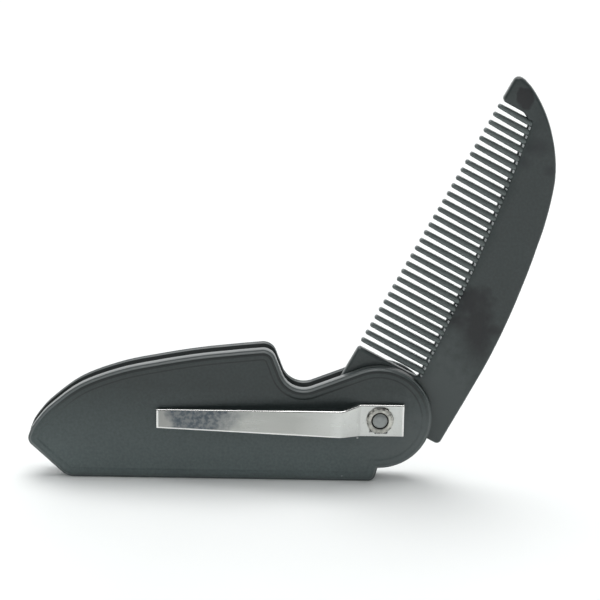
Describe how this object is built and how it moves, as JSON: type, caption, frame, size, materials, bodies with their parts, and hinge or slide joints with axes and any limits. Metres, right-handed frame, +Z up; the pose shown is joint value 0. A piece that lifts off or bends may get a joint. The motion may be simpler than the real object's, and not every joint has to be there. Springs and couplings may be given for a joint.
{
  "type": "folding comb",
  "caption": "Folding pocket comb: a toothed blade on a rivet folds into a slotted case with a pocket clip.",
  "frame": {"origin": "middle of the flat along the underside of the case's spine, on which the comb stands", "axes": "+X along the spine towards the pivot, +Y from the clip side to the far side, +Z up"},
  "size_m": [0.1362, 0.0148, 0.109],
  "materials": {
    "case_plastic": "black moulded plastic, satin",
    "blade_plastic": "black moulded plastic, a little glossier than the case",
    "clip_steel": "bent sheet steel, dull satin",
    "rivet_steel": "tubular steel rivet with a rolled flange, dull"
  },
  "bodies": {
    "case": {"case": "case_plastic", "clip": "clip_steel", "rivet": "rivet_steel"},
    "blade": {"blade": "blade_plastic"}
  },
  "joints": [
    {"name": "blade_fold", "type": "hinge", "parent": "case", "child": "blade", "pos_m": [0.0416, 0, 0.0179], "axis": [0, -1, 0], "range_deg": [-61.9, 117.1]}
  ]
}
